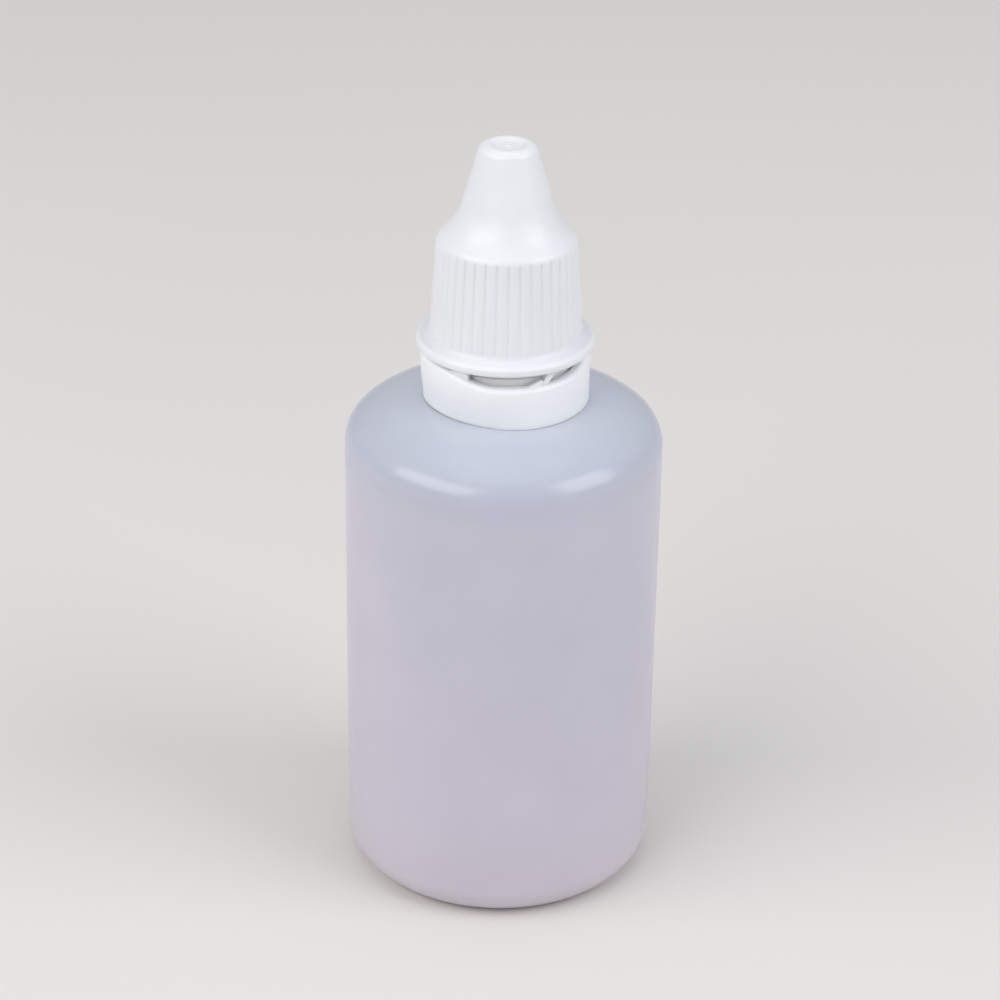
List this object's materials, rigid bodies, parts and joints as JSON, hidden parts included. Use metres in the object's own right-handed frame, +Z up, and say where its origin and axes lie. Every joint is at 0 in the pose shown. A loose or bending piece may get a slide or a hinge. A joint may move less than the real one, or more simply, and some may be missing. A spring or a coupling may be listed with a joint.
{
  "type": "eye drop bottle",
  "caption": "Round squeeze bottle with a pressed-in dropper plug and a ribbed screw cap with a long conical nose and a tamper band.",
  "frame": {"origin": "centre of the standing ring under the base, on the surface that the bottle stands on", "axes": "+Z up along the bottle's axis, -Y towards the viewer of the picture, +X to the viewer's right"},
  "size_m": [0.037, 0.037, 0.0915],
  "materials": {
    "bottle_plastic": "satin, milky translucent low-density polyethylene",
    "plug_plastic": "satin, natural low-density polyethylene",
    "cap_plastic": "satin, opaque white polypropylene"
  },
  "bodies": {
    "bottle_body": {"bottle": "bottle_plastic", "dropper_plug": "plug_plastic"},
    "band_ring": {"tamper_band": "cap_plastic", "break_bridges": "cap_plastic"},
    "cap_body": {"cap": "cap_plastic"}
  },
  "joints": [
    {"name": "cap_turn", "type": "hinge", "parent": "bottle_body", "child": "band_ring", "pos_m": [0, 0, 0.0675], "axis": [0, 0, 1], "range_deg": [0, 2880]},
    {"name": "cap_lift", "type": "slide", "parent": "band_ring", "child": "cap_body", "axis": [0, 0, 1], "range_m": [0, 0.024]}
  ],
  "couplings": [
    {"joint": "cap_lift", "follows": "cap_turn", "m_per_rad": 0.00047746}
  ]
}
